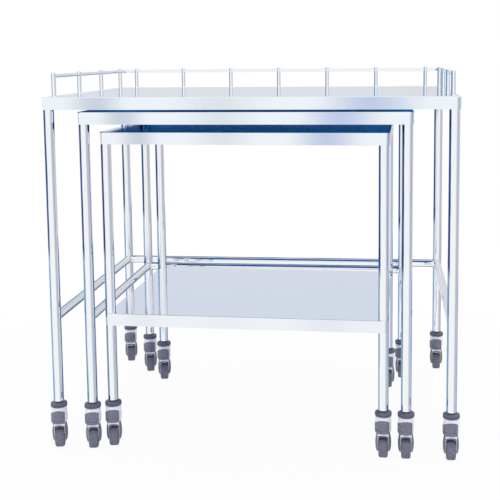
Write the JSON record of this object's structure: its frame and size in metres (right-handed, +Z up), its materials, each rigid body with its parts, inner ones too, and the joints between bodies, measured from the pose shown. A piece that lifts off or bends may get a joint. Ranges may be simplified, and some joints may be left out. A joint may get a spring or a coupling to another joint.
{
  "type": "surgical trolley nest",
  "caption": "Nest of steel surgical trolleys on swivel castors: a guarded large top, an open-framed middle one and a small one with a shelf, each rolling out of the next.",
  "frame": {"origin": "on the floor, under the middle of the bounding box of the nested set", "axes": "+Z up, +X to the right seen from the open front, the open front of the guard rail faces -Y, the trolleys roll out along -Y"},
  "size_m": [1.0078, 0.7214, 0.934],
  "materials": {
    "steel_sheet": "polished folded stainless sheet",
    "steel_tube": "polished stainless tube",
    "castor_plastic": "satin moulded grey plastic",
    "wheel_rubber": "smooth grey non-marking tread"
  },
  "bodies": {
    "large": {"large_top": "steel_sheet", "large_leg_fl": "steel_tube", "large_leg_fr": "steel_tube", "large_leg_rl": "steel_tube", "large_leg_rr": "steel_tube", "large_bumper_fl": "castor_plastic", "large_bumper_fr": "castor_plastic", "large_bumper_rl": "castor_plastic", "large_bumper_rr": "castor_plastic", "large_rail_left": "steel_tube", "large_rail_right": "steel_tube", "large_rail_rear": "steel_tube", "large_gallery": "steel_tube"},
    "medium": {"medium_top": "steel_sheet", "medium_leg_fl": "steel_tube", "medium_leg_fr": "steel_tube", "medium_leg_rl": "steel_tube", "medium_leg_rr": "steel_tube", "medium_bumper_fl": "castor_plastic", "medium_bumper_fr": "castor_plastic", "medium_bumper_rl": "castor_plastic", "medium_bumper_rr": "castor_plastic", "medium_rail_left": "steel_tube", "medium_rail_right": "steel_tube", "medium_rail_rear": "steel_tube"},
    "small": {"small_top": "steel_sheet", "small_leg_fl": "steel_tube", "small_leg_fr": "steel_tube", "small_leg_rl": "steel_tube", "small_leg_rr": "steel_tube", "small_bumper_fl": "castor_plastic", "small_bumper_fr": "castor_plastic", "small_bumper_rl": "castor_plastic", "small_bumper_rr": "castor_plastic", "small_shelf": "steel_sheet"},
    "large_castor_fl": {"large_fork_fl": "castor_plastic"},
    "large_wheel_fl": {"large_wheel_fl": "wheel_rubber"},
    "large_castor_fr": {"large_fork_fr": "castor_plastic"},
    "large_wheel_fr": {"large_wheel_fr": "wheel_rubber"},
    "large_castor_rl": {"large_fork_rl": "castor_plastic"},
    "large_wheel_rl": {"large_wheel_rl": "wheel_rubber"},
    "large_castor_rr": {"large_fork_rr": "castor_plastic"},
    "large_wheel_rr": {"large_wheel_rr": "wheel_rubber"},
    "medium_castor_fl": {"medium_fork_fl": "castor_plastic"},
    "medium_wheel_fl": {"medium_wheel_fl": "wheel_rubber"},
    "medium_castor_fr": {"medium_fork_fr": "castor_plastic"},
    "medium_wheel_fr": {"medium_wheel_fr": "wheel_rubber"},
    "medium_castor_rl": {"medium_fork_rl": "castor_plastic"},
    "medium_wheel_rl": {"medium_wheel_rl": "wheel_rubber"},
    "medium_castor_rr": {"medium_fork_rr": "castor_plastic"},
    "medium_wheel_rr": {"medium_wheel_rr": "wheel_rubber"},
    "small_castor_fl": {"small_fork_fl": "castor_plastic"},
    "small_wheel_fl": {"small_wheel_fl": "wheel_rubber"},
    "small_castor_fr": {"small_fork_fr": "castor_plastic"},
    "small_wheel_fr": {"small_wheel_fr": "wheel_rubber"},
    "small_castor_rl": {"small_fork_rl": "castor_plastic"},
    "small_wheel_rl": {"small_wheel_rl": "wheel_rubber"},
    "small_castor_rr": {"small_fork_rr": "castor_plastic"},
    "small_wheel_rr": {"small_wheel_rr": "wheel_rubber"}
  },
  "joints": [
    {"name": "medium_roll_out", "type": "slide", "parent": "large", "child": "medium", "axis": [0, -1, 0], "range_m": [-0.05, 0.6]},
    {"name": "small_roll_out", "type": "slide", "parent": "medium", "child": "small", "axis": [-0.0262, -0.9997, 0], "range_m": [-0.014, 0.5]},
    {"name": "large_swivel_fl", "type": "hinge", "parent": "large", "child": "large_castor_fl", "pos_m": [-0.4835, -0.34034, 0.09], "axis": [0, 0, 1], "continuous": true},
    {"name": "large_spin_fl", "type": "hinge", "parent": "large_castor_fl", "child": "large_wheel_fl", "pos_m": [-0.48454, -0.33545, 0.024], "axis": [0.9781, 0.2079, 0], "continuous": true},
    {"name": "large_swivel_fr", "type": "hinge", "parent": "large", "child": "large_castor_fr", "pos_m": [0.4835, -0.34034, 0.09], "axis": [0, 0, 1], "continuous": true},
    {"name": "large_spin_fr", "type": "hinge", "parent": "large_castor_fr", "child": "large_wheel_fr", "pos_m": [0.4835, -0.33534, 0.024], "axis": [1, 0, 0], "continuous": true},
    {"name": "large_swivel_rl", "type": "hinge", "parent": "large", "child": "large_castor_rl", "pos_m": [-0.4835, 0.33066, 0.09], "axis": [0, 0, 1], "continuous": true},
    {"name": "large_spin_rl", "type": "hinge", "parent": "large_castor_rl", "child": "large_wheel_rl", "pos_m": [-0.48454, 0.33555, 0.024], "axis": [0.9781, 0.2079, 0], "continuous": true},
    {"name": "large_swivel_rr", "type": "hinge", "parent": "large", "child": "large_castor_rr", "pos_m": [0.4835, 0.33066, 0.09], "axis": [0, 0, 1], "continuous": true},
    {"name": "large_spin_rr", "type": "hinge", "parent": "large_castor_rr", "child": "large_wheel_rr", "pos_m": [0.4835, 0.33566, 0.024], "axis": [1, 0, 0], "continuous": true},
    {"name": "medium_swivel_fl", "type": "hinge", "parent": "medium", "child": "medium_castor_fl", "pos_m": [-0.397, -0.34034, 0.09], "axis": [0, 0, 1], "continuous": true},
    {"name": "medium_spin_fl", "type": "hinge", "parent": "medium_castor_fl", "child": "medium_wheel_fl", "pos_m": [-0.39804, -0.33545, 0.024], "axis": [0.9781, 0.2079, 0], "continuous": true},
    {"name": "medium_swivel_fr", "type": "hinge", "parent": "medium", "child": "medium_castor_fr", "pos_m": [0.376, -0.34034, 0.09], "axis": [0, 0, 1], "continuous": true},
    {"name": "medium_spin_fr", "type": "hinge", "parent": "medium_castor_fr", "child": "medium_wheel_fr", "pos_m": [0.376, -0.33534, 0.024], "axis": [1, 0, 0], "continuous": true},
    {"name": "medium_swivel_rl", "type": "hinge", "parent": "medium", "child": "medium_castor_rl", "pos_m": [-0.397, 0.23766, 0.09], "axis": [0, 0, 1], "continuous": true},
    {"name": "medium_spin_rl", "type": "hinge", "parent": "medium_castor_rl", "child": "medium_wheel_rl", "pos_m": [-0.39804, 0.24255, 0.024], "axis": [0.9781, 0.2079, 0], "continuous": true},
    {"name": "medium_swivel_rr", "type": "hinge", "parent": "medium", "child": "medium_castor_rr", "pos_m": [0.376, 0.23766, 0.09], "axis": [0, 0, 1], "continuous": true},
    {"name": "medium_spin_rr", "type": "hinge", "parent": "medium_castor_rr", "child": "medium_wheel_rr", "pos_m": [0.376, 0.24266, 0.024], "axis": [1, 0, 0], "continuous": true},
    {"name": "small_swivel_fl", "type": "hinge", "parent": "small", "child": "small_castor_fl", "pos_m": [-0.35031, -0.32096, 0.09], "axis": [0, 0, 1], "continuous": true},
    {"name": "small_spin_fl", "type": "hinge", "parent": "small_castor_fl", "child": "small_wheel_fl", "pos_m": [-0.35122, -0.31605, 0.024], "axis": [0.9833, 0.1822, 0], "continuous": true},
    {"name": "small_swivel_fr", "type": "hinge", "parent": "small", "child": "small_castor_fr", "pos_m": [0.32146, -0.33855, 0.09], "axis": [0, 0, 1], "continuous": true},
    {"name": "small_spin_fr", "type": "hinge", "parent": "small_castor_fr", "child": "small_wheel_fr", "pos_m": [0.32159, -0.33355, 0.024], "axis": [0.9997, -0.0262, 0], "continuous": true},
    {"name": "small_swivel_rl", "type": "hinge", "parent": "small", "child": "small_castor_rl", "pos_m": [-0.33746, 0.16987, 0.09], "axis": [0, 0, 1], "continuous": true},
    {"name": "small_spin_rl", "type": "hinge", "parent": "small_castor_rl", "child": "small_wheel_rl", "pos_m": [-0.33837, 0.17479, 0.024], "axis": [0.9833, 0.1822, 0], "continuous": true},
    {"name": "small_swivel_rr", "type": "hinge", "parent": "small", "child": "small_castor_rr", "pos_m": [0.33431, 0.15228, 0.09], "axis": [0, 0, 1], "continuous": true},
    {"name": "small_spin_rr", "type": "hinge", "parent": "small_castor_rr", "child": "small_wheel_rr", "pos_m": [0.33444, 0.15728, 0.024], "axis": [0.9997, -0.0262, 0], "continuous": true}
  ]
}
